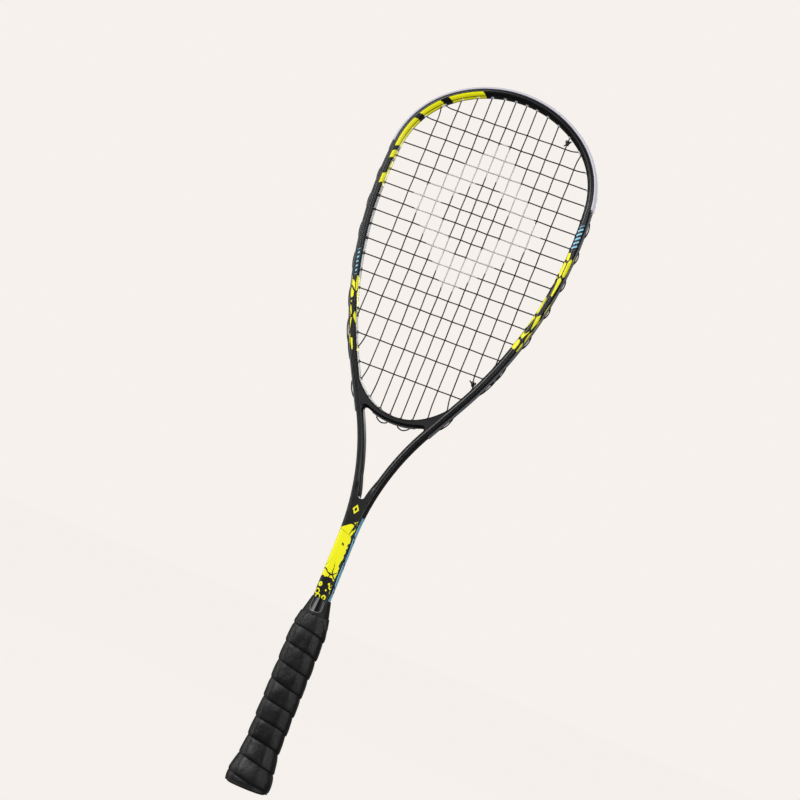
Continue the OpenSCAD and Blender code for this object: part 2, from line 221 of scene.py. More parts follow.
# --- the line of the tube -----------------------------------------------------------------
def right_line():
    """Stations [x, z, lean] from the right leg's foot to the middle of the crown."""
    legs = [(LEG_X, z, 0) for z in np.linspace(LEG_FOOT, CURVE_Z, 24, endpoint=False)]
    throat = [(LEG_X + THROAT_R * (1 - cos(a)), CURVE_Z + THROAT_R * sin(a), a)
              for a in np.linspace(0, THROAT_ANGLE, 44, endpoint=False)]
    arm = [(CURVE_END_X + t * sin(THROAT_ANGLE), CURVE_END_Z + t * cos(THROAT_ANGLE), THROAT_ANGLE)
           for t in np.linspace(0, ARM_STRAIGHT, 14, endpoint=False)]
    side = [(SIDE_CX + SIDE_R * cos(a), SIDE_CZ - SIDE_R * sin(a), a)
            for a in np.linspace(THROAT_ANGLE, -CROWN_FROM, 84, endpoint=False)]
    shoulder = [(SHOULDER_CX + SHOULDER_R * cos(a), SHOULDER_CZ + SHOULDER_R * sin(a), -a)
                for a in np.linspace(CROWN_FROM, SHOULDER_TO, 38, endpoint=False)]
    top = [(CROWN_R * cos(a), CROWN_Z + CROWN_R * sin(a), -a)
           for a in np.linspace(SHOULDER_TO, 90, 34)]
    return np.array(legs + throat + arm + side + shoulder + top)


half = right_line()
other = half[-2::-1] * (-1, 1, 1)
other[:, 2] = -180 - other[:, 2]
line = np.vstack([half, other])
outward = np.stack([np.cos(np.radians(line[:, 2])), np.zeros(len(line)),
                    -np.sin(np.radians(line[:, 2]))], axis=1)
steps = np.hypot(np.diff(line[:, 0]), np.diff(line[:, 1]))
# run is the way along the tube from the middle of the crown, positive on the right
run = np.concatenate([[0], np.cumsum(steps)])
run = run[-1] / 2 - run


def at_run(where):
    """The tube line's point and its outward direction at a run, or at many."""
    order = run[::-1]
    point = np.stack([np.interp(where, order, line[::-1, 0]), np.zeros_like(where),
                      np.interp(where, order, line[::-1, 1])], axis=-1)
    lean = np.radians(np.interp(where, order, line[::-1, 2]))
    out = np.stack([np.cos(lean), np.zeros_like(where), -np.sin(lean)], axis=-1)
    return point, out


def run_at(z):
    """The run on the right where the tube's line is at a height; the left's is its negative."""
    return float(np.interp(z, half[:, 1], run[:len(half)]))


def run_of(x, z):
    """The run of the tube line's point nearest to [x, z]."""
    return run[np.argmin((line[:, 0] - x) ** 2 + (line[:, 1] - z) ** 2)]


# --- materials ----------------------------------------------------------------------------
MATH, MIX, NOISE = "ShaderNodeMath", "ShaderNodeMix", "ShaderNodeTexNoise"
CELLS, RANGE, BUMP = "ShaderNodeTexVoronoi", "ShaderNodeMapRange", "ShaderNodeBump"
PRINCIPLED, OUTPUT = "ShaderNodeBsdfPrincipled", "ShaderNodeOutputMaterial"

# heights where the frame's transfers start and end
CROWN_BLOCKS = ((673.6, 657.5), (651.9, 633.9), (628.1, 596.9), (592, 584.5), (568.4, 559))
CROWN_THREAD = (584, 559)
RIGHT_PATCH, LEFT_PATCH = (558, 457), (470, 404)
RIGHT_BARS, LEFT_BARS = (585, 563), (495, 471)
TEAL, TEAL_FADE = (526, 466), (522, 478)
FIELD_TOP, FIELD_MIDDLE, FIELD_FOOT, RINGS_FOOT = 254.5, 231, 203, 182.5
LOZENGE_Z, LOZENGE_REACH = 269, (3.07, 4.6)
RIBBON_FOOT, RIBBON_TOP = 181, 264
HOOP_FOOT = 380
# the stencil on the strings and the collar's smooth panel: middle and half sizes
STENCIL_Z, STENCIL_REACH = 560, (66, 78)
PANEL_Z, PANEL_REACH = 177.5, (5.8, 8.2)


def blank_material(name):
    """A new material with an empty tree; returns both and the place that a pattern reads."""
    material = bpy.data.materials.new(name)
    material.use_nodes = True
    tree = material.node_tree
    tree.nodes.clear()
    return material, tree, add(tree, "ShaderNodeTexCoord").outputs["Object"]


def in_mm(tree, place):
    """The x, y and z of a place, in millimetres."""
    scaled = add(tree, "ShaderNodeVectorMath", {0: place, "Scale": 1 / MM}, operation="SCALE")
    return add(tree, "ShaderNodeSeparateXYZ", [scaled]).outputs


def between(low, high):
    """A band's middle and half width, as the Compare operation takes them."""
    return (low + high) / 2, (high - low) / 2


def right_side(heights):
    """The band of runs between two heights on the right of the hoop, upper height first."""
    return between(run_at(heights[0]), run_at(heights[1]))


def left_side(heights):
    """The band of runs between two heights on the left of the hoop, upper height first."""
    return between(-run_at(heights[1]), -run_at(heights[0]))


def reach_from(tree, x, z, middle, half_sizes, power=1.0):
    """How far out a place is in a shape on the racket's middle line, 1 on the shape's edge:
    a lozenge at a power of 1, and a rounded rectangle at higher ones."""
    shares = []
    for way, centre, half_size in zip((x, z), (0.0, middle), half_sizes):
        share = add(tree, MATH, [way, centre], operation="SUBTRACT")
        share = add(tree, MATH, [share], operation="ABSOLUTE")
        share = add(tree, MATH, [share, half_size], operation="DIVIDE")
        shares.append(add(tree, MATH, [share, power], operation="POWER"))
    return add(tree, MATH, shares, operation="ADD")


def hoop_patches(tree, along, across, deep, wander):
    """Cracked patches low on both sides of the hoop: cells about 12 mm long along the tube
    and 3 mm round it, some of them left black, with edges wandered by noise."""
    shares = [add(tree, MATH, [way, 1 / size], operation="MULTIPLY")
              for way, size in ((along, 12), (across, 3.3), (deep, 5))]
    skin = add(tree, "ShaderNodeCombineXYZ", shares)
    bent = add(tree, MIX, [0.11, skin, wander.outputs["Color"]], data_type="VECTOR")
    cell = add(tree, CELLS, {"Vector": bent, "Scale": 1.0})
    edge = add(tree, CELLS, {"Vector": bent, "Scale": 1.0}, feature="DISTANCE_TO_EDGE")
    tone = add(tree, "ShaderNodeSeparateColor", [cell.outputs["Color"]])
    filled = add(tree, MATH, [tone, 0.38], operation="GREATER_THAN")
    uncracked = add(tree, MATH, [edge, 0.1], operation="GREATER_THAN")
    patches = add(tree, MATH, [filled, uncracked], operation="MULTIPLY")
    bands = [add(tree, MATH, [along, *band], operation="COMPARE")
             for band in (right_side(RIGHT_PATCH), left_side(LEFT_PATCH))]
    painted = add(tree, MATH, bands, operation="MAXIMUM")
    return add(tree, MATH, [patches, painted], operation="MULTIPLY")


def crown_blocks(tree, along, across, deep, slant):
    """Plain blocks down the left of the crown, on the inner half of the tube, with slanted
    ends, a thin thread that joins the lowest two and a black line along their inner edge."""
    blocks = 0.0
    for heights in CROWN_BLOCKS:
        block = add(tree, MATH, [slant, *left_side(heights)], operation="COMPARE")
        blocks = add(tree, MATH, [blocks, block], operation="MAXIMUM")
    inner_half = add(tree, MATH, [across, -0.5], operation="LESS_THAN")
    blocks = add(tree, MATH, [blocks, inner_half], operation="MULTIPLY")
    thread = add(tree, MATH, [along, *left_side(CROWN_THREAD)], operation="COMPARE")
    thread_edge = add(tree, MATH, [across, -3.2], operation="LESS_THAN")
    thread = add(tree, MATH, [thread, thread_edge], operation="MULTIPLY")
    blocks = add(tree, MATH, [blocks, thread], operation="MAXIMUM")
    line_edge = add(tree, MATH, [across, -3.1], operation="LESS_THAN")
    keyline = add(tree, MATH, [deep, *between(3.2, 5.0)], operation="COMPARE")
    keyline = add(tree, MATH, [keyline, line_edge], operation="MULTIPLY")
    return add(tree, MATH, [blocks, keyline], operation="SUBTRACT", use_clamp=True)


def shaft_field(tree, x, z, deep, wander):
    """The front and back of the shaft: a big cracked field whose top edge rises to the
    right, and small rings below it."""
    sheet = add(tree, "ShaderNodeCombineXYZ", {
        0: add(tree, MATH, [x, 1 / 9], operation="MULTIPLY"),
        2: add(tree, MATH, [z, 1 / 11], operation="MULTIPLY")})
    bent = add(tree, MIX, [0.2, sheet, wander.outputs["Color"]], data_type="VECTOR")
    seam = add(tree, CELLS, {"Vector": bent, "Scale": 1.0}, feature="DISTANCE_TO_EDGE")
    top_edge = add(tree, MATH, [x, 0.75, FIELD_TOP], operation="MULTIPLY_ADD")
    under = add(tree, MATH, [z, top_edge], operation="LESS_THAN")
    over = add(tree, MATH, [z, FIELD_FOOT], operation="GREATER_THAN")
    field = add(tree, MATH, [under, over], operation="MULTIPLY")
    # the cracks are wide at the field's two ends and closed within 12 mm of its middle
    off = add(tree, MATH, [z, FIELD_MIDDLE], operation="SUBTRACT")
    off = add(tree, MATH, [off], operation="ABSOLUTE")
    crack = add(tree, MATH, [off, 0.0028, -0.0028 * 12], operation="MULTIPLY_ADD")
    uncracked = add(tree, MATH, [seam, crack], operation="GREATER_THAN")
    field = add(tree, MATH, [field, uncracked], operation="MULTIPLY")
    bubble = add(tree, CELLS, {"Vector": sheet, "Scale": 1.7, "Randomness": 0.55})
    rings = add(tree, MATH, [bubble.outputs["Distance"], *between(0.27, 0.44)],
                operation="COMPARE")
    low = add(tree, MATH, [z, *between(RINGS_FOOT, FIELD_FOOT)], operation="COMPARE")
    rings = add(tree, MATH, [rings, low], operation="MULTIPLY")
    # the paint stops a little way round the corners, further on the left than on the right
    side = add(tree, MATH, [x], operation="SIGN")
    side = add(tree, MATH, [side, 1.5, 4.6], operation="MULTIPLY_ADD")
    side = add(tree, MATH, [wander.outputs[0], 4.2, side], operation="MULTIPLY_ADD")
    face = add(tree, MATH, [deep, side], operation="GREATER_THAN")
    painted = add(tree, MATH, [field, rings], operation="MAXIMUM")
    return add(tree, MATH, [painted, face], operation="MULTIPLY")


def lozenge_ring(tree, x, z, deep):
    """A plain lozenge ring on the face of the shaft, above the field."""
    reach = reach_from(tree, x, z, LOZENGE_Z, LOZENGE_REACH)
    ring = add(tree, MATH, [reach, *between(0.48, 1.0)], operation="COMPARE")
    face = add(tree, MATH, [deep, 7.5], operation="GREATER_THAN")
    return add(tree, MATH, [ring, face], operation="MULTIPLY")


def hoop_bars(tree, across, slant):
    """Short slanted bars on both sides of the hoop, 4.2 mm apart."""
    bars = add(tree, MATH, [slant, 1 / 4.2], operation="MULTIPLY")
    bars = add(tree, MATH, [bars], operation="FRACT")
    bars = add(tree, MATH, [bars, 0.42], operation="LESS_THAN")
    groups = []
    for band, width in ((right_side(RIGHT_BARS), (-1.9, 2.3)),
                        (left_side(LEFT_BARS), (-1.0, 0.6))):
        length = add(tree, MATH, [slant, *band], operation="COMPARE")
        width = add(tree, MATH, [across, *between(*width)], operation="COMPARE")
        groups.append(add(tree, MATH, [length, width], operation="MULTIPLY"))
    group = add(tree, MATH, groups, operation="MAXIMUM")
    return add(tree, MATH, [bars, group], operation="MULTIPLY")


def shaft_ribbons(tree, y, z, deep):
    """Broken stripes down the sides of the shaft, with a gap every 24 mm."""
    wave = add(tree, MATH, [z, 0.16], operation="MULTIPLY")
    wave = add(tree, MATH, [y, 1.3, wave], operation="MULTIPLY_ADD")
    wave = add(tree, MATH, [wave], operation="SINE")
    ribbon = add(tree, MATH, [wave, -0.35], operation="GREATER_THAN")
    gap = add(tree, MATH, [z, 1 / 24], operation="MULTIPLY")
    gap = add(tree, MATH, [y, 0.03, gap], operation="MULTIPLY_ADD")
    gap = add(tree, MATH, [gap], operation="FRACT")
    unbroken = add(tree, MATH, [gap, 0.1], operation="GREATER_THAN")
    ribbon = add(tree, MATH, [ribbon, unbroken], operation="MULTIPLY")
    side = add(tree, MATH, [deep, 6.1], operation="LESS_THAN")
    length = add(tree, MATH, [z, *between(RIBBON_FOOT, RIBBON_TOP)], operation="COMPARE")
    side = add(tree, MATH, [side, length], operation="MULTIPLY")
    return add(tree, MATH, [ribbon, side], operation="MULTIPLY")


def painted_carbon():
    """Carbon tube sprayed satin black with neon, teal and pale blue transfers under clear
    lacquer: deep black with a soft broad shine, faint orange peel and fine dust."""
    material, tree, place = blank_material("satin_lacquered_carbon")
    x, y, z = in_mm(tree, place)
    along = add(tree, "ShaderNodeAttribute", attribute_name="run").outputs["Fac"]
    across = add(tree, "ShaderNodeAttribute", attribute_name="across").outputs["Fac"]
    deep = add(tree, MATH, [y], operation="ABSOLUTE")
    slant = add(tree, MATH, [across, 0.8, along], operation="MULTIPLY_ADD")
    wander = add(tree, NOISE, {"Vector": place, "Scale": 160.0, "Detail": 2.0})
    on_hoop = add(tree, MATH, [z, HOOP_FOOT], operation="GREATER_THAN")

    yellow = add(tree, MATH, [crown_blocks(tree, along, across, deep, slant),
                              hoop_patches(tree, along, across, deep, wander)],
                 operation="MAXIMUM")
    yellow = add(tree, MATH, [yellow, on_hoop], operation="MULTIPLY")
    yellow = add(tree, MATH, [yellow, shaft_field(tree, x, z, deep, wander)],
                 operation="MAXIMUM")
    yellow = add(tree, MATH, [yellow, lozenge_ring(tree, x, z, deep)], operation="MAXIMUM")
    blue = add(tree, MATH, [hoop_bars(tree, across, slant), on_hoop], operation="MULTIPLY")
    blue = add(tree, MATH, [blue, shaft_ribbons(tree, y, z, deep)], operation="MAXIMUM")
    # the black fades to a dark teal on the left of the hoop
    teal = add(tree, RANGE, [along, -run_at(TEAL_FADE[0]), -run_at(TEAL_FADE[1]), 0.0, 1.0])
    teal_band = add(tree, MATH, [along, *left_side(TEAL)], operation="COMPARE")
    teal = add(tree, MATH, [teal, teal_band], operation="MULTIPLY")

    cloud = add(tree, NOISE, {"Vector": place, "Scale": 45.0, "Detail": 4.0})
    colour = add(tree, MIX, [cloud.outputs[0], linear("#0B0B0C"), linear("#161618")],
                 data_type="RGBA")
    neon = add(tree, MIX, [cloud.outputs[0], linear("#F6F300"), linear("#FFFB1C")],
               data_type="RGBA")
    for mask, paint in ((teal, linear("#0A2429")), (blue, linear("#84D0F0")), (yellow, neon)):
        colour = add(tree, MIX, [mask, colour, paint], data_type="RGBA")
    # painted light: the neon and pale blue transfers glow in their own colours, so they look
    # brighter than the lamps alone make them
    transfer_painted_glow = linear("#000000")
    for mask, painted_glow_tint in ((blue, linear("#9FE0FF")), (yellow, neon)):
        transfer_painted_glow = add(tree, MIX, [mask, transfer_painted_glow, painted_glow_tint], data_type="RGBA")

    # orange peel of about 0.8 mm under the lacquer, and a dusting that dulls it in places
    peel = add(tree, NOISE, {"Vector": place, "Scale": 1200.0, "Detail": 2.0})
    relief = add(tree, BUMP, {"Height": peel.outputs[0], "Distance": 0.00003, "Strength": 0.5})
    dull = add(tree, RANGE, [cloud.outputs[0], 0.3, 0.7, 0.36, 0.46])
    skin = add(tree, PRINCIPLED, {
        "Base Color": colour, "Roughness": dull, "IOR": 1.5, "Normal": relief,
        "Coat Weight": 0.35, "Coat Roughness": 0.3,
        # the emission is the transfers' painted glow
        "Emission Color": transfer_painted_glow, "Emission Strength": 0.38})
    add(tree, OUTPUT, [skin])
    return material


def clear_nylon(name, tint, through, scuff, painted_glow):
    """Moulded nylon: milky, with a satin skin and rubbed scuffs, and a painted glow in its own
    tint that stands in for the bright room seen through it."""
    material, tree, place = blank_material(name)
    rub = add(tree, NOISE, {"Vector": place, "Scale": 300.0, "Detail": 2.0, "Roughness": 0.6})
    spots = add(tree, RANGE, [rub.outputs[0], 0.56, 0.7, 0.0, scuff])
    colour = add(tree, MIX, [spots, linear(tint), linear("#A9A8AC")], data_type="RGBA")
    rough = add(tree, RANGE, [rub.outputs[0], 0.3, 0.7, 0.48, 0.6])
    relief = add(tree, BUMP, {"Height": rub.outputs[0], "Distance": 0.00001, "Strength": 0.3})
    # the emission is painted light: a glow for the room behind the nylon, though the nylon is no
    # lamp
    skin = add(tree, PRINCIPLED, {
        "Base Color": colour, "Roughness": rough, "IOR": 1.53, "Normal": relief,
        "Transmission Weight": through,
        "Emission Color": linear(tint), "Emission Strength": painted_glow})
    add(tree, OUTPUT, [skin])
    return material


def coated_string():
    """Multifilament nylon string in a black coat: a tight rope of filaments, 1.2 mm thick,
    with a twist of 3.6 mm and a satin wax shine. A pale stencil is sprayed on the bed: a
    lozenge ring that the string carries only where the paint landed."""
    material, tree, place = blank_material("black_multifilament_string")
    x, _, z = in_mm(tree, place)
    length = add(tree, "ShaderNodeAttribute", attribute_name="length").outputs["Fac"]
    around = add(tree, "ShaderNodeAttribute", attribute_name="around").outputs["Fac"]
    lay = add(tree, MATH, [around, 3.0], operation="MULTIPLY")
    lay = add(tree, MATH, [length, 1 / (3.6 * MM), lay], operation="MULTIPLY_ADD")
    lay = add(tree, MATH, [lay, math.pi], operation="MULTIPLY")
    ridge = add(tree, MATH, [lay], operation="SINE")
    ridge = add(tree, MATH, [ridge], operation="ABSOLUTE")
    fuzz = add(tree, NOISE, {"Vector": place, "Scale": 900.0, "Detail": 3.0})
    black = add(tree, MIX, [fuzz.outputs[0], linear("#0C0C0D"), linear("#1E1E20")],
                data_type="RGBA")
    reach = reach_from(tree, x, z, STENCIL_Z, STENCIL_REACH)
    sprayed = add(tree, MATH, [reach, *between(0.58, 1.0)], operation="COMPARE")
    colour = add(tree, MIX, [sprayed, black, linear("#EFEDE9")], data_type="RGBA")
    relief = add(tree, BUMP, {"Height": ridge, "Distance": 0.00006, "Strength": 0.6})
    skin = add(tree, PRINCIPLED, {"Base Color": colour, "Roughness": 0.42, "IOR": 1.53,
                                  "Coat Weight": 0.15, "Normal": relief})
    add(tree, OUTPUT, [skin])
    return material


def wrap_leather():
    """Synthetic leather grip tape, dyed black and pressed with a fine grain: dull black, a
    soft sheen on the crowns, greyer where hands rub it."""
    material, tree, place = blank_material("black_synthetic_leather")
    # grain cells of about 0.9 mm with creases about 7 mm apart
    grain = add(tree, CELLS, {"Vector": place, "Scale": 1100.0}, feature="DISTANCE_TO_EDGE")
    crease = add(tree, NOISE, {"Vector": place, "Scale": 150.0, "Detail": 6.0,
                               "Roughness": 0.65})
    wear = add(tree, NOISE, {"Vector": place, "Scale": 30.0, "Detail": 4.0})
    colour = add(tree, MIX, [wear.outputs[0], linear("#0A0A0B"), linear("#151516")],
                 data_type="RGBA")
    creased = add(tree, BUMP, {"Height": crease.outputs[0], "Distance": 0.0009,
                               "Strength": 0.6})
    grained = add(tree, BUMP, {"Height": grain.outputs["Distance"], "Distance": 0.00018,
                               "Strength": 0.5, "Normal": creased})
    rough = add(tree, RANGE, [wear.outputs[0], 0.3, 0.7, 0.34, 0.5])
    skin = add(tree, PRINCIPLED, {
        "Base Color": colour, "Roughness": rough, "IOR": 1.5, "Normal": grained,
        "Sheen Weight": 0.12, "Sheen Roughness": 0.5})
    add(tree, OUTPUT, [skin])
    return material


def collar_rubber():
    """Moulded black rubber, finely etched, with a smooth glossy panel on its front and back, and a
    painted highlight round the panel: a thin grey line that stands in for light caught on the rim
    of a recess."""
    material, tree, place = blank_material("black_moulded_rubber")
    x, y, z = in_mm(tree, place)
    deep = add(tree, MATH, [y], operation="ABSOLUTE")
    face = add(tree, MATH, [deep, 7.0], operation="GREATER_THAN")
    reach = reach_from(tree, x, z, PANEL_Z, PANEL_REACH, power=4.0)
    panel = add(tree, MATH, [reach, 1.0], operation="LESS_THAN")
    panel = add(tree, MATH, [panel, face], operation="MULTIPLY")
    # painted highlight: a thin grey ring round the panel, where light would catch the rim of a
    # recess
    outline = add(tree, MATH, [reach, *between(0.72, 1.15)], operation="COMPARE")
    outline = add(tree, MATH, [outline, face], operation="MULTIPLY")
    etch = add(tree, NOISE, {"Vector": place, "Scale": 1500.0, "Detail": 2.0})
    colour = add(tree, MIX, [etch.outputs[0], linear("#101112"), linear("#1B1C1D")],
                 data_type="RGBA")
    # the grey tint is the painted highlight round the panel
    for mask, tint in ((panel, "#0A0A0A"), (outline, "#6F7073")):
        colour = add(tree, MIX, [mask, colour, linear(tint)], data_type="RGBA")
    rough = add(tree, RANGE, [panel, 0.0, 1.0, 0.58, 0.3])
    relief = add(tree, BUMP, {"Height": etch.outputs[0], "Distance": 0.00005,
                              "Strength": 0.5})
    skin = add(tree, PRINCIPLED, {"Base Color": colour, "Roughness": rough, "IOR": 1.52,
                                  "Normal": relief})
    add(tree, OUTPUT, [skin])
    return material


def plain_finish(name, dark, light, roughness, scale, relief, metallic=0.0):
    """A plain moulded or drawn finish: two close tones and a fine relief of one scale."""
    material, tree, place = blank_material(name)
    noise = add(tree, NOISE, {"Vector": place, "Scale": scale, "Detail": 4.0})
    colour = add(tree, MIX, [noise.outputs[0], linear(dark), linear(light)], data_type="RGBA")
    rough = add(tree, RANGE, [noise.outputs[0], 0.3, 0.7, roughness - 0.06, roughness + 0.06])
    bump = add(tree, BUMP, {"Height": noise.outputs[0], "Distance": relief, "Strength": 0.5})
    skin = add(tree, PRINCIPLED, {"Base Color": colour, "Roughness": rough, "Normal": bump,
                                  "Metallic": metallic})
    add(tree, OUTPUT, [skin])
    return material


lacquer = painted_carbon()
# the last number of each is the strength of the painted glow
bumper_nylon = clear_nylon("milky_bumper_nylon", "#E2DFEA", 0.0, 0.1, 0.3)
strip_nylon = clear_nylon("clear_strip_nylon", "#8F9399", 0.5, 0.15, 0.05)
string_coat = coated_string()
leather = wrap_leather()
rubber = collar_rubber()
# injection-moulded ABS with a spark-eroded skin: even, dull and black
cap_abs = plain_finish("black_moulded_abs", "#131415", "#1E1F20", 0.5, 1300.0, 0.00005)
# rigid polyurethane foam, cut and sanded: warm grey with open pores
foam = plain_finish("rigid_polyurethane_foam", "#5C5850", "#7A766D", 0.85, 900.0, 0.0003)
# anodised aluminium disc, blasted fine: soft grey metal
badge = plain_finish("anodised_aluminium", "#83878E", "#A3A7AD", 0.36, 700.0, 0.00003, 1.0)
# zinc-plated steel wire: bright, slightly blotched metal
steel = plain_finish("zinc_plated_steel", "#A8ABB0", "#C4C7CA", 0.3, 500.0, 0.00002, 1.0)
# soft PVC tape: black with a low waxy shine
vinyl = plain_finish("black_pvc_tape", "#101011", "#1C1C1D", 0.42, 800.0, 0.00006)


# --- camera, floor and light --------------------------------------------------------------
def place_camera():
    """Looks up at the standing racket from just right of its front, rolled so that the
    racket leans to the right."""
    azimuth, elevation, roll, distance = 11.0, -5.8, 22.0, 2.06
    back = Vector((sin(azimuth) * cos(elevation), -cos(azimuth) * cos(elevation),
                   sin(elevation)))
    right = Vector((cos(azimuth), sin(azimuth), 0))
    up = back.cross(right)
    lifted = up * cos(roll) - right * sin(roll)
    level = right * cos(roll) + up * sin(roll)
    data = bpy.data.cameras.new("studio_camera")
    data.sensor_width, data.lens = 36, 101.2
    data.clip_start, data.clip_end = 0.05, 100
    camera = bpy.data.objects.new("studio_camera", data)
    turn = Matrix((level, lifted, back)).transposed().to_4x4()
    aim = Vector((-0.0018, 0, 0.3774))
    camera.matrix_world = Matrix.Translation(aim + back * distance) @ turn
    scene.collection.objects.link(camera)
    scene.camera = camera


def light_room():
    """A pale room, a tall soft key on the left and strips that edge the black tube. The room
    is bright to the eye only, so that the lacquer stays black."""
    scene.view_settings.view_transform = "Standard"
    world = bpy.data.worlds.new("pale_room")
    scene.world = world
    world.use_nodes = True
    tree = world.node_tree
    tree.nodes.clear()
    seen = add(tree, "ShaderNodeBackground", [linear("#F6F1EC"), 1.0])
    felt = add(tree, "ShaderNodeBackground", [linear("#F1F0F2"), 0.05])
    ray = add(tree, "ShaderNodeLightPath")
    mixed = add(tree, "ShaderNodeMixShader", [ray.outputs["Is Camera Ray"], felt, seen])
    add(tree, "ShaderNodeOutputWorld", [mixed])
    for name, spot, size, power in (
            ("key_softbox", (-1.1, -1.6, 1.3), (0.5, 1.3), 26),
            ("fill_softbox", (1.5, -1.7, 0.9), (0.4, 1.3), 10),
            ("right_strip", (1.6, -0.3, 0.5), (0.3, 1.6), 5),
            ("left_strip", (-1.6, 0.0, 0.5), (0.2, 1.6), 7),
            ("rear_softbox", (0.4, 1.8, 1.4), (0.9, 0.9), 12)):
        data = bpy.data.lights.new(name, "AREA")
        data.shape, data.size, data.size_y, data.energy = "RECTANGLE", size[0], size[1], power
        lamp = bpy.data.objects.new(name, data)
        lamp.location = spot
        lamp.rotation_euler = (Vector((0, 0, 0.4)) - Vector(spot)).to_track_quat(
            "-Z", "Y").to_euler()
        scene.collection.objects.link(lamp)


def lay_floor():
    """A wide pale floor that glows as brightly as the room, with a trace of real shadow."""
    reach = 40
    mesh = bpy.data.meshes.new("studio_floor")
    mesh.from_pydata([(-reach, -reach, 0), (reach, -reach, 0), (reach, reach, 0),
                      (-reach, reach, 0)], [], [(0, 1, 2, 3)])
    material, tree, place = blank_material("pale_studio_floor")
    grain = add(tree, NOISE, {"Vector": place, "Scale": 3.0})
    paint = add(tree, MIX, [grain.outputs[0], linear("#F6F1EC"), linear("#F7F2ED")],
                data_type="RGBA")
    glow = add(tree, "ShaderNodeEmission", [paint, 1.0])
    matt = add(tree, PRINCIPLED, {"Base Color": paint, "Roughness": 0.9})
    mixed = add(tree, "ShaderNodeMixShader", [0.02, glow, matt])
    add(tree, OUTPUT, [mixed])
    floor = show("studio_floor", mesh, material)
    # the floor's glow is for the eye: it does not light the racket or shine in its lacquer
    floor.visible_diffuse = floor.visible_glossy = False


place_camera()
light_room()
lay_floor()


# --- the moulded frame --------------------------------------------------------------------
def section_tree():
    """Carries a bevelled section along a line. The section is the rounded shape inside four
    pairs of planes: the sides, two bevels and the faces. A groove may run down its outside."""
    tree, given = geometry_tree("bevelled_tube", [
        ("Half width", "Float", 0.0035), ("Half depth", "Float", 0.009),
        ("Side bevel", "Vector", (1, 0, 0)), ("Face bevel", "Vector", (0, 1, 0)),
        ("Sharpness", "Float", 16.0), ("Points round", "Int", 64),
        ("Groove depth", "Float", 0.0), ("Groove half width", "Float", 0.002),
        ("Material", "Material", None)])
    put = given.outputs
    curve = add(tree, "GeometryNodeMeshToCurve", {0: put["Geometry"]})
    facing = add(tree, "GeometryNodeInputNamedAttribute", {"Name": "outward"},
                 data_type="FLOAT_VECTOR")
    turned = add(tree, "GeometryNodeSetCurveNormal", {0: curve, "Normal": facing.outputs[0]},
                 mode="FREE")
    ring = add(tree, "GeometryNodeCurvePrimitiveCircle", {"Resolution": put["Points round"],
                                                          "Radius": 1.0})
    spot = add(tree, "GeometryNodeInputPosition")
    size = add(tree, "ShaderNodeCombineXYZ", {0: put["Half width"], 1: put["Half depth"]})
    ray = add(tree, "ShaderNodeVectorMath", {0: spot, 1: size}, operation="MULTIPLY")
    quarter = add(tree, "ShaderNodeVectorMath", {0: ray}, operation="ABSOLUTE")
    one_side = add(tree, "ShaderNodeCombineXYZ", {
        0: add(tree, MATH, [1.0, put["Half width"]], operation="DIVIDE")})
    one_face = add(tree, "ShaderNodeCombineXYZ", {
        1: add(tree, MATH, [1.0, put["Half depth"]], operation="DIVIDE")})
    total = 0.0
    for plane in (one_side, put["Side bevel"], put["Face bevel"], one_face):
        share = add(tree, "ShaderNodeVectorMath", [quarter, plane],
                    operation="DOT_PRODUCT").outputs["Value"]
        share = add(tree, MATH, [share, put["Sharpness"]], operation="POWER")
        total = add(tree, MATH, [total, share], operation="ADD")
    root = add(tree, MATH, [-1.0, put["Sharpness"]], operation="DIVIDE")
    inverse = add(tree, MATH, [total, root], operation="POWER")
    placed = add(tree, "ShaderNodeVectorMath", {0: ray, "Scale": inverse}, operation="SCALE")
    shaped = add(tree, "GeometryNodeSetPosition", {0: ring.outputs["Curve"],
                                                   "Position": placed.outputs[0]})
    parts = add(tree, "ShaderNodeSeparateXYZ", {0: add(tree, "GeometryNodeInputPosition")})
    noted = shaped
    for name, value in (("across", parts.outputs[0]), ("deep", parts.outputs[1])):
        noted = add(tree, "GeometryNodeStoreNamedAttribute", {
            0: noted, "Name": name,
            "Value": add(tree, MATH, [value, 1 / MM], operation="MULTIPLY")},
            data_type="FLOAT", domain="POINT")
    skin = add(tree, "GeometryNodeCurveToMesh", {0: turned, 1: noted, "Fill Caps": True})
    # the groove, where the line asks for one
    across, deep, grooved = (add(tree, "GeometryNodeInputNamedAttribute", {"Name": name},
                                 data_type="FLOAT").outputs[0]
                             for name in ("across", "deep", "grooved"))
    off = add(tree, MATH, [deep], operation="ABSOLUTE")
    reach = add(tree, MATH, [put["Groove half width"], 1 / MM], operation="MULTIPLY")
    off = add(tree, MATH, [off, reach], operation="DIVIDE")
    share = add(tree, RANGE, [off, 1.15, 0.95, 0.0, 1.0])
    outside = add(tree, MATH, [across, 0.0], operation="GREATER_THAN")
    inwards = add(tree, MATH, [put["Groove depth"], -1.0], operation="MULTIPLY")
    for factor in (outside, grooved, inwards):
        share = add(tree, MATH, [share, factor], operation="MULTIPLY")
    move = add(tree, "ShaderNodeVectorMath", {0: facing, "Scale": share}, operation="SCALE")
    carved = add(tree, "GeometryNodeSetPosition", {0: skin, "Offset": move})
    close_tree(tree, given, carved)
    return tree


# two bevels on each corner: a steep one off the side and a shallow one onto the face
SIDE_BEVEL = (0.919 / 5.344 / MM, 0.394 / 5.344 / MM, 0)
FACE_BEVEL = (0.588 / 7.99 / MM, 0.809 / 7.99 / MM, 0)


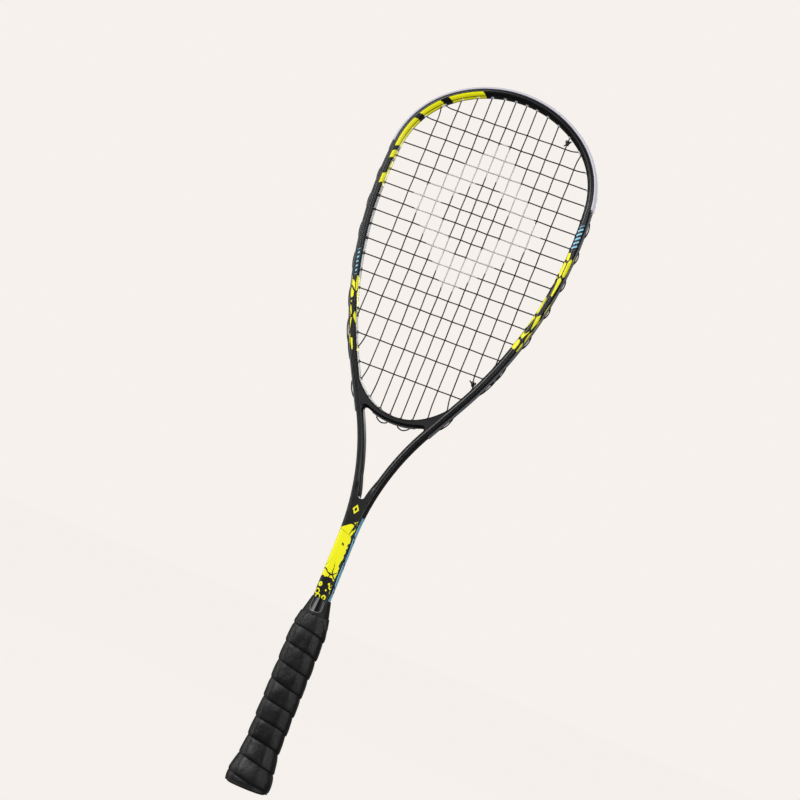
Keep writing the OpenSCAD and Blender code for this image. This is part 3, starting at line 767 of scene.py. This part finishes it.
def slab(name, outline, shoulders, thin=None):
    """A flat moulding from an outline [x, z] seen from the front, anticlockwise, whose edges
    step in towards the faces by the shoulders [inset, half depth]."""
    edge = np.asarray(outline, float)
    ahead, behind = np.roll(edge, -1, axis=0) - edge, edge - np.roll(edge, 1, axis=0)
    ahead /= np.linalg.norm(ahead, axis=1)[:, None]
    behind /= np.linalg.norm(behind, axis=1)[:, None]
    inward = np.stack([-(ahead + behind)[:, 1], (ahead + behind)[:, 0]], axis=1)
    inward /= np.maximum(np.linalg.norm(inward, axis=1), 0.2)[:, None]
    layers = [(inset, -depth) for inset, depth in reversed(shoulders)]
    layers += [(inset, depth) for inset, depth in shoulders]
    points = []
    for inset, y in layers:
        points += [(p[0], y * (thin(p[1]) if thin else 1), p[1]) for p in edge + inward * inset]
    mesh = mesh_of(name, points, skin_faces(len(layers), len(edge)))
    tidy = bmesh.new()
    tidy.from_mesh(mesh)
    bmesh.ops.triangulate(tidy, faces=[f for f in tidy.faces if len(f.verts) > 4])
    bmesh.ops.recalc_face_normals(tidy, faces=tidy.faces)
    tidy.to_mesh(mesh)
    tidy.free()
    return mesh


def note_place(mesh):
    """Notes on each point of a moulding the run and the distance across of the tube line."""
    points = np.empty(len(mesh.vertices) * 3, np.float32)
    mesh.vertices.foreach_get("co", points)
    points = points.reshape(-1, 3) / MM
    near = np.empty(len(points), int)
    for start in range(0, len(points), 4000):
        part = points[start:start + 4000]
        gap = ((part[:, None, 0] - line[None, :, 0]) ** 2
               + (part[:, None, 2] - line[None, :, 1]) ** 2)
        near[start:start + 4000] = gap.argmin(axis=1)
    ahead = np.stack([outward[near, 2], -outward[near, 0]], axis=1)   # towards smaller runs
    off = points[:, [0, 2]] - line[near][:, :2]
    across = (off * outward[near][:, [0, 2]]).sum(axis=1)
    along = run[near] + (off * ahead).sum(axis=1)
    for name, values in (("run", along), ("across", across)):
        if name in mesh.attributes:
            mesh.attributes.remove(mesh.attributes[name])
        layer = mesh.attributes.new(name, "FLOAT", "POINT")
        layer.data.foreach_set("value", values.astype(np.float32))


def leg_line_x(z):
    """Where the right leg's or arm's own line is at a height."""
    if z <= CURVE_Z:
        return LEG_X
    return LEG_X + THROAT_R - math.sqrt(THROAT_R ** 2 - (z - CURVE_Z) ** 2)


def shaft_fill():
    """Fills between the legs, flush with their faces, up to the slot's round bottom."""
    meet = 306
    skin = leg_line_x(meet) - HALF_T + 0.6
    slot = []
    for t in np.linspace(1, 0, 9):
        slot.append((SLOT_R + (skin - SLOT_R) * t ** 1.25, SLOT_Z + (meet - SLOT_Z) * t))
    slot += [(SLOT_R * cos(a), SLOT_Z + SLOT_R * sin(a)) for a in np.linspace(-12, -168, 14)]
    slot += [(-x, z) for x, z in reversed(slot[:9])]
    rise = np.linspace(LEG_FOOT, meet, 40)
    right = [(leg_line_x(z) + 1.0, z) for z in rise]
    left = [(-x, z) for x, z in reversed(right)]
    def sunk(z):
        share = min(1, max(0, (z - SLOT_Z) / (meet - SLOT_Z)))
        return 1 - 0.14 * share * share * (3 - 2 * share)

    return slab("shaft_fill", right + slot + left,
                [(0.0, 6.0), (0.35, 7.6), (0.9, 8.6), (1.5, 8.97)], sunk)


def frame_tube():
    """The hairpin tube: both legs, both arms and the hoop, with the shaft filled between."""
    height = line[:, 1]
    grooved = np.clip((height - CURVE_END_Z + 2) / 4, 0, 1)
    way = guide("tube_line", np.stack([line[:, 0], np.zeros(len(line)), height], axis=1),
                outward=outward, grooved=grooved)
    piece = grow("moulded_frame", way, section_tree(), {
        "Half width": HALF_T * MM, "Half depth": HALF_B * MM, "Side bevel": SIDE_BEVEL,
        "Face bevel": FACE_BEVEL, "Sharpness": 13.0, "Points round": 72,
        "Groove depth": 1.0 * MM, "Groove half width": 2.0 * MM, "Material": lacquer})
    filling = show("shaft_fill", shaft_fill(), lacquer)
    union = piece.modifiers.new("union", "BOOLEAN")
    union.operation, union.solver, union.object = "UNION", "EXACT", filling
    mesh = settle(piece, union).data
    bpy.data.objects.remove(filling)
    mesh.materials.clear()
    mesh.materials.append(lacquer)
    note_place(mesh)
    soften(mesh, 28)
    return give(piece, "carbon_lacquer", "frame_tube")


def bridge_up_z(x):
    """The bridge's upper edge: an arc of an ellipse."""
    return BRIDGE_Z + BRIDGE_UP_Z * (1 - math.sqrt(1 - (x / BRIDGE_UP_X) ** 2))


def bridge_low_z(x):
    """The bridge's lower edge: an arc of a circle."""
    return BRIDGE_Z - BRIDGE_T + BRIDGE_LOW_R - math.sqrt(BRIDGE_LOW_R ** 2 - x * x)


def arm_inner_x(z):
    """The arm's inner skin at a height near the bridge."""
    if z > ARM_END_Z:
        across = math.sqrt((SIDE_R - HALF_T) ** 2 - (z - SIDE_CZ) ** 2)
        return SIDE_CX + across
    if z > CURVE_END_Z:
        return (CURVE_END_X - HALF_T / cos(THROAT_ANGLE)
                + (z - CURVE_END_Z) * math.tan(math.radians(THROAT_ANGLE)))
    return LEG_X + THROAT_R - math.sqrt((THROAT_R + HALF_T) ** 2 - (z - CURVE_Z) ** 2)


def throat_bridge():
    """The yoke between the arms, with small fillets where its lower edge meets them."""
    upper_end, lower_end = 47.5, 26.2
    upper = [(x, bridge_up_z(x)) for x in np.linspace(0, upper_end, 40)]
    lower = [(x, bridge_low_z(x)) for x in np.linspace(0, lower_end, 26)]
    # the fillet leads from the lower edge down onto the arm's inner skin
    start = np.array(lower[-1])
    ends = np.array([arm_inner_x(355) + 0.4, 355])
    corner = np.array([arm_inner_x(361.8) - 0.2, 361.5])
    fillet = [tuple((1 - t) ** 2 * start + 2 * t * (1 - t) * corner + t * t * ends)
              for t in np.linspace(0.1, 1, 10)]
    inside = [(leg_line_x(351) + 1.2, 352), (44.5, 372.5), (52.4, 387)]
    right = lower + fillet + inside
    outline = right + [(x, z) for x, z in reversed(upper)]
    outline += [(-x, z) for x, z in upper[1:]]
    outline += [(-x, z) for x, z in reversed(right[1:])]
    mesh = slab("throat_bridge_yoke", outline,
                [(0.0, 3.8), (0.3, 5.2), (1.1, 7.6), (2.0, 8.35)])
    note_place(mesh)
    soften(mesh, 30)
    return give(show("throat_yoke", mesh, lacquer), "carbon_lacquer", "throat_bridge")


frame_tube()
throat_bridge()


# --- the string bed -----------------------------------------------------------------------
MAINS, CROSSES = 12, 17
HALF_MAINS = MAINS // 2
MAIN_LEAN = [0, 0, 1, 2.5, 3, 0]    # how far each main leans out at its foot
STRING_LINE = HALF_T + 0.6 + STRING_R + 0.05


def main_x(i):
    """How far a main is from the middle: the gaps widen a little outwards."""
    return 5.4 + 10.2 * i + 0.49 * i * i


# the tube's inner skin on the right: each arc's centre, radius and first angle, top first
INNER_ARCS = ((0, CROWN_Z, CROWN_R - HALF_T, SHOULDER_TO),
              (SHOULDER_CX, SHOULDER_CZ, SHOULDER_R - HALF_T, CROWN_FROM),
              (SIDE_CX, SIDE_CZ, SIDE_R - HALF_T, -90))


def hole(arc, angle):
    """A string hole's mouth on one of the inner skin's arcs, and the way that it points."""
    middle_x, middle_z, reach, _ = arc
    return middle_x + reach * cos(angle), middle_z + reach * sin(angle), angle


def hole_over(x):
    """The hole in the crown at a distance from the middle."""
    flat = x < INNER_ARCS[0][2] * cos(SHOULDER_TO)
    arc = INNER_ARCS[0 if flat else 1]
    return hole(arc, math.degrees(math.acos((x - arc[0]) / arc[2])))


def hole_beside(z):
    """The hole in the hoop's right side at a height."""
    for arc in INNER_ARCS:
        if z > arc[1] + arc[2] * sin(arc[3]):
            return hole(arc, math.degrees(math.asin((z - arc[1]) / arc[2])))


# the crosses' gaps widen away from the seventh, and faster towards the bed's foot
cross_z = [TOP_CROSS_Z]
for k in range(CROSSES - 1):
    cross_z.append(cross_z[-1] - CROSS_GAP - 0.06 * (k - 6.5) ** 2 - 0.0013 * max(k - 6.5, 0) ** 4)
foot_x = [main_x(i) + MAIN_LEAN[i] for i in range(HALF_MAINS)]
top_holes = [hole_over(main_x(i)) for i in range(HALF_MAINS)]
foot_holes = []    # four mains a side end in the bridge and its arms, two in the hoop
for i, x in enumerate(foot_x):
    if i < 2:
        foot_holes.append((x, bridge_up_z(x), -90))
    elif i < 4:
        foot_holes.append((x, bridge_up_z(x), -THROAT_ANGLE))
    else:
        foot_holes.append(hole(INNER_ARCS[2], -math.degrees(math.acos(
            (x - SIDE_CX) / (SIDE_R - HALF_T)))))
cross_holes = [hole_beside(z) for z in cross_z]


def main_at(j):
    """A main's place from the middle and its side, where mains count from the right."""
    return (HALF_MAINS - 1 - j, 1) if j < HALF_MAINS else (j - HALF_MAINS, -1)


def weave(main, cross):
    """1 where a main passes in front of a cross, or else -1. Mains count from the left."""
    return 1 if (main + cross) % 2 else -1


def smooth_run(knots, values, where):
    """Values that ease from knot to knot with a flat crest on each, as woven string lies."""
    knots, values = np.asarray(knots), np.asarray(values)
    order = np.argsort(knots)
    knots, values = knots[order], values[order]
    slot = np.clip(np.searchsorted(knots, where) - 1, 0, len(knots) - 2)
    share = np.clip((where - knots[slot]) / (knots[slot + 1] - knots[slot]), 0, 1)
    share = (1 - np.cos(math.pi * share)) / 2
    return values[slot] + (values[slot + 1] - values[slot]) * share


CREST = STRING_R + 0.03
UNDER_BUMPER_Z = 601    # above this the bumper keeps the outside loops flat


def main_string(j):
    """Points down a main, from its hole in the crown to its hole at the foot."""
    i, side = main_at(j)
    number = MAINS - j
    top, foot = top_holes[i], foot_holes[i]
    crossed = [k for k in range(CROSSES) if cross_holes[k][0] > abs(main_x(i)) + 2
               and top[1] - 2 > cross_z[k] > foot[1] + 3]
    bend_z = foot[1] + (14 if i > 1 else 6)
    heights = np.concatenate([[top[1], top[1] - 1.5], np.arange(top[1] - 4, foot[1] + 3, -1.9),
                              [foot[1] + 1.5, foot[1]]])
    knots = [top[1] + 0.1] + [cross_z[k] for k in crossed] + [foot[1] - 0.1]
    lifts = [0] + [-CREST * weave(number, k) for k in crossed] + [0]
    depth = smooth_run(knots, lifts, heights)
    lean = np.clip((bend_z - heights) / (bend_z - foot[1]), 0, 1) ** 1.6
    x = main_x(i) + (foot[0] - main_x(i)) * lean
    if i == HALF_MAINS - 1:
        x = x + 1.6 * np.clip((heights - (top[1] - 12)) / 12, 0, 1) ** 2
    return [(side * a, b, c) for a, b, c in zip(x, depth, heights)]


def cross_string(k):
    """Points along a cross, from its hole on the left to its hole on the right."""
    reach, height, _ = cross_holes[k]
    knots, lifts = [-reach - 0.1], [0]
    for j in reversed(range(MAINS)):
        i, side = main_at(j)
        if main_x(i) < reach - 2 and foot_holes[i][1] + 3 < height < top_holes[i][1] - 2:
            knots.append(side * main_x(i))
            lifts.append(CREST * weave(MAINS - j, k))
    knots.append(reach + 0.1)
    lifts.append(0)
    xs = np.concatenate([[-reach], np.arange(-reach + 1.5, reach - 1, 1.9), [reach]])
    depth = smooth_run(knots, lifts, xs)
    # the first two crosses curl up into their holes
    curl = 1.8 if k == 0 else 1.2 if k == 1 else 0
    rise = curl * np.clip((np.abs(xs) - reach + 9) / 9, 0, 1) ** 2
    return [(x, y, height + up - curl) for x, y, up in zip(xs, depth, rise)]


def loop_outside(first, second, sides, bulge):
    """The string from one hole to the next, over the outside of the tube."""
    ends = []
    for (x, z, angle), side in zip((first, second), sides):
        ends.append(run_of(side * (x + HALF_T * cos(angle)), z + HALF_T * sin(angle)))
    share = np.linspace(0, 1, 15)
    where = ends[0] + (ends[1] - ends[0]) * share
    point, out = at_run(where)
    lift = STRING_LINE + bulge * np.sin(math.pi * share) - 1.1 * (1 - np.minimum(
        1, np.minimum(share, 1 - share) * 9)) ** 2
    return [tuple(p + o * u) for p, o, u in zip(point, out, lift)]


def loop_under(first, second, side):
    """The string from one main to the next, under the bridge."""
    share = np.linspace(0, 1, 15)
    points = []
    for t in share:
        x = first[0] + (second[0] - first[0]) * t
        drop = 1.2 + STRING_R + 2.0 * math.sin(math.pi * t)
        points.append((side * x, 0, bridge_low_z(x) - drop))
    return points


def string_route():
    """The one length of string: down and up the mains from the right, then the crosses from
    the top down."""
    route = []
    for j in range(MAINS):
        points = main_string(j)
        route += points if j % 2 == 0 else points[::-1]
        if j == MAINS - 1:
            break
        a, b = main_at(j), main_at(j + 1)
        holes = foot_holes if j % 2 == 0 else top_holes
        if j % 2 == 0 and a[0] < 2 and b[0] < 2:
            route += loop_under(holes[a[0]], holes[b[0]], a[1])
        else:
            bulge = 1.4 if j % 2 == 0 else 0.0
            route += loop_outside(holes[a[0]], holes[b[0]], (a[1], b[1]), bulge)
    # from the top of the last main to the left end of the first cross
    route += loop_outside(top_holes[HALF_MAINS - 1], cross_holes[0], (-1, -1), 0.0)
    for k in range(CROSSES):
        points = cross_string(k)
        route += points if k % 2 == 0 else points[::-1]
        if k < CROSSES - 1:
            side = 1 if k % 2 == 0 else -1
            bulge = 0.0 if cross_holes[k + 1][1] > UNDER_BUMPER_Z else 1.4 if side > 0 else 0.7
            route += loop_outside(cross_holes[k], cross_holes[k + 1], (side, side), bulge)
    return np.array(route)


def cord_tree():
    """Sweeps a round string along a line and notes its length and the way round it."""
    tree, given = geometry_tree("round_string", [
        ("Radius", "Float", 0.0006), ("Points round", "Int", 8), ("Material", "Material", None)])
    put = given.outputs
    curve = add(tree, "GeometryNodeMeshToCurve", {0: put["Geometry"]})
    way = add(tree, "GeometryNodeSplineParameter")
    curve = add(tree, "GeometryNodeStoreNamedAttribute", {
        0: curve, "Name": "length", "Value": way.outputs["Length"]},
        data_type="FLOAT", domain="POINT")
    ring = add(tree, "GeometryNodeCurvePrimitiveCircle", {"Resolution": put["Points round"],
                                                          "Radius": put["Radius"]})
    spot = add(tree, "ShaderNodeSeparateXYZ", {0: add(tree, "GeometryNodeInputPosition")})
    angle = add(tree, MATH, [spot.outputs[1], spot.outputs[0]], operation="ARCTAN2")
    angle = add(tree, MATH, [angle], operation="ABSOLUTE")
    turn = add(tree, MATH, [angle, math.pi], operation="DIVIDE")
    ring = add(tree, "GeometryNodeStoreNamedAttribute", {
        0: ring.outputs["Curve"], "Name": "around", "Value": turn},
        data_type="FLOAT", domain="POINT")
    skin = add(tree, "GeometryNodeCurveToMesh", {0: curve, 1: ring, "Fill Caps": True})
    smooth = add(tree, "GeometryNodeSetShadeSmooth", {0: skin})
    close_tree(tree, given, smooth)
    return tree


string_tree = cord_tree()


def string_bed():
    """The whole length of string, woven."""
    way = guide("string_route", string_route())
    piece = grow("woven_string", way, string_tree, {
        "Radius": STRING_R * MM, "Points round": 8, "Material": string_coat})
    return give(piece, "string_nylon", "string")


def knot(name, middle, turn):
    """A tied knot round a main: three crossing turns and two cut tails."""
    points = []
    size = 1.25
    for t in np.linspace(0, 2 * math.pi, 44, endpoint=False):
        points.append((size * (math.sin(t) + 2 * math.sin(2 * t)) * 0.62,
                       size * -math.sin(3 * t) * 0.75,
                       size * (math.cos(t) - 2 * math.cos(2 * t)) * 0.62))
    last = np.array(points[-1])
    first = np.array(points[0])
    tail_a = [tuple(last + (t * 3.6 * turn, -t * 1.2, t * 2.8)) for t in (0.3, 0.6, 0.85, 1.0)]
    tail_b = [tuple(first + (-t * 2.0 * turn, -t * 1.6, -t * 3.4)) for t in (1.0, 0.8, 0.5, 0.25)]
    route = np.array(tail_b + points + tail_a) + np.array(middle)
    piece = grow(name, guide(name + "_route", route), string_tree, {
        "Radius": 0.62 * MM, "Points round": 8, "Material": string_coat})
    return give(piece, "string_nylon")


string_bed()
knot("upper_knot", (main_x(4), 0, top_holes[4][1] - 5.5), 1)
knot("lower_knot", (foot_x[4] - 1.2, 0, foot_holes[4][1] + 5.2), -1)


# --- the handle ---------------------------------------------------------------------------
GRIP_STATIONS = [(0, 37.5, 33.5), (2.5, 40, 36), (12, 41, 37), (24, 35.6, 31.6), (40, 31.6, 27.6),
                 (151, 31.6, 27.6), (COLLAR_Z, 24.5, 23.5), (COLLAR_TOP, 24, 23)]


def eight_sided(z, way, stations=GRIP_STATIONS, spread=4.0, sharp=12.0):
    """Points on the handle's rounded eight-sided skin at heights z and directions way."""
    table = np.array(stations, float)
    sizes = []
    for column in (1, 2):
        total = np.zeros_like(z, dtype=float)
        for step in (-1, -0.5, 0, 0.5, 1):
            total += np.interp(z + step * spread, table[:, 0], table[:, column])
        sizes.append(total / 5 / 2)
    wide, deep = sizes
    cut = 0.52 * np.minimum(wide, deep)
    reach = (wide + deep - cut)
    ray = np.stack([wide * np.cos(way), deep * np.sin(way)], axis=-1)
    total = (np.abs(ray[..., 0]) / wide) ** sharp + (np.abs(ray[..., 1]) / deep) ** sharp
    total += ((np.abs(ray[..., 0]) + np.abs(ray[..., 1])) / reach) ** sharp
    flat = ray / (total ** (1 / sharp))[..., None]
    return np.stack([flat[..., 0], flat[..., 1], z], axis=-1)


def tidy_mesh(mesh):
    """Merges doubled points, drops empty faces and turns every face outwards."""
    work = bmesh.new()
    work.from_mesh(mesh)
    bmesh.ops.remove_doubles(work, verts=work.verts, dist=0.00001)
    bmesh.ops.dissolve_degenerate(work, edges=work.edges, dist=0.000005)
    bmesh.ops.recalc_face_normals(work, faces=work.faces)
    work.to_mesh(mesh)
    work.free()


def grip_wrap():
    """One tape wound up the handle, each turn's lower edge lying over the turn below."""
    low, high, sunk = 1.6, 167.3, 0.25
    # the tape's section as [height above its lower edge, height over the handle]
    section = [(0.3, -0.35), (0.0, -0.05), (-0.28, 0.2), (-0.25, 0.52), (0.1, 0.82), (1.0, 1.06),
               (3.0, 1.14), (6.0, 1.12), (9.0, 1.02), (12.0, 0.84), (14.5, 0.58), (16.5, 0.24),
               (17.6, -0.1), (18.6, -0.2), (18.8, -0.4), (12.0, -0.5), (5.0, -0.5)]
    first_seam = 9.6
    seam_way = math.radians(-128)
    round_steps = 120
    begin = (low - 20 - first_seam) / PITCH
    end = (high - first_seam) / PITCH + 0.1
    count = int((end - begin) * round_steps)
    turns = begin + np.arange(count + 1) / round_steps
    section = np.array(section)
    stray = 0.35 * np.sin(turns * 5.1) + 0.3 * np.sin(turns * 13.7 + 1)
    z = first_seam + (turns * PITCH + stray)[:, None] + section[None, :, 0]
    # the tape is squeezed in where it would pass the ends
    top = high - z
    z = np.where(top < 2, high - 2 * np.exp((top - 2) / 2), z)
    bottom = z - low
    z = np.where(bottom < 2, low + 2 * np.exp((bottom - 2) / 2), z)
    way = np.broadcast_to((seam_way - turns * 2 * math.pi)[:, None], z.shape)
    skin = eight_sided(z, way)
    ahead = eight_sided(z, way + 0.01)
    tangent = (ahead - skin)[..., :2]
    normal = np.stack([tangent[..., 1], -tangent[..., 0]], axis=-1)
    normal /= np.linalg.norm(normal, axis=-1)[..., None]
    lift = np.broadcast_to(section[None, :, 1], z.shape) - sunk
    # hand-wound tape is never quite even: low swells about 20 mm long
    lift = lift + 0.14 * np.sin(z / 3.1 + 2.3 * np.sin(way * 2)) * np.sin(way * 3 + z / 9)
    # the tape's end is built up a little by the finishing tape beneath
    lift = lift + 0.35 * np.clip((z - 154) / 4, 0, 1)
    skin[..., :2] += normal * lift[..., None]
    mesh = mesh_of("grip_tape", skin.reshape(-1, 3), skin_faces(count + 1, len(section)))
    tidy_mesh(mesh)
    soften(mesh, 55)
    piece = give(show("spiral_grip_wrap", mesh, leather), "wrap_leather", "grip_wrap")
    return piece


def lofted(name, rings):
    """Joins rings of points, outside first, into one closed skin."""
    mesh = mesh_of(name, np.concatenate(rings), skin_faces(len(rings), len(rings[0])))
    tidy_mesh(mesh)
    return mesh


ring_way = np.linspace(0, 2 * math.pi, 96, endpoint=False)


def ring_at(z, wide, deep, sharp=9.0):
    """One eight-sided ring of a given width and depth."""
    stations = [(z - 1, wide, deep), (z + 1, wide, deep)]
    return eight_sided(np.full_like(ring_way, z), ring_way, stations, 0.1, sharp)


def round_ring(z, radius):
    """One round ring of a given radius."""
    return np.stack([radius * np.cos(ring_way), radius * np.sin(ring_way),
                     np.full_like(ring_way, z)], axis=1)


def butt_cap():
    """The moulded end: a rounded rim under the wrap, a flat end face and a round recess."""
    rings = [ring_at(z, 40 - 2 * inset, 36 - 2 * inset) for z, inset in (
        (26, 5.2), (12, 1.4), (4, 0.9), (2.4, 0.75), (1.4, 1.1), (0.6, 1.8), (0.15, 2.7),
        (0.0, 3.7), (0.0, 5.0))]
    rings += [round_ring(z, radius) for z, radius in (
        (0.0, 11.6), (0.12, 11.2), (0.5, 11.1), (0.82, 11.05))]
    rings.append(round_ring(0.82, 3.0))
    mesh = lofted("butt_cap", rings)
    soften(mesh, 40)
    return give(show("moulded_butt_cap", mesh, cap_abs), "cap_plastic", "butt_cap")


def grip_collar():
    """The rubber sleeve over the wrap's end, swelling down from a thin lip on the shaft."""
    rings = [ring_at(z, wide, deep, 4.5) for z, wide, deep in (
        (165.3, 23.0, 21.5), (165.4, 26.2, 25.0), (166.0, 27.4, 26.2), (COLLAR_Z, 27.6, 26.4),
        (170, 26.0, 25.3), (174, 23.8, 23.7), (178, 21.6, 22.2), (181, 19.9, 21.1),
        (182.2, 19.2, 20.6), (182.8, 18.4, 20.0), (COLLAR_TOP, 17.4, 19.2),
        (COLLAR_TOP, 15, 17))]
    mesh = lofted("grip_collar", rings)
    soften(mesh, 40)
    return give(show("rubber_grip_collar", mesh, rubber), "collar_rubber", "grip_collar")


grip_wrap()
butt_cap()
grip_collar()

# --- finishes of the pieces that keep their CAD shape ---------------------------------------
for node, finish in (
        ("bumper_guard", bumper_nylon), ("grommet_strip_left", strip_nylon),
        ("grommet_strip_right", strip_nylon), ("bridge_grommet_strip", strip_nylon),
        ("handle_pallet_front", foam), ("handle_pallet_back", foam), ("butt_badge", badge),
        ("butt_cap_staples", steel), ("grip_tack", steel), ("finishing_tape", vinyl)):
    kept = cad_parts[node].data
    kept.materials.clear()
    kept.materials.append(finish)
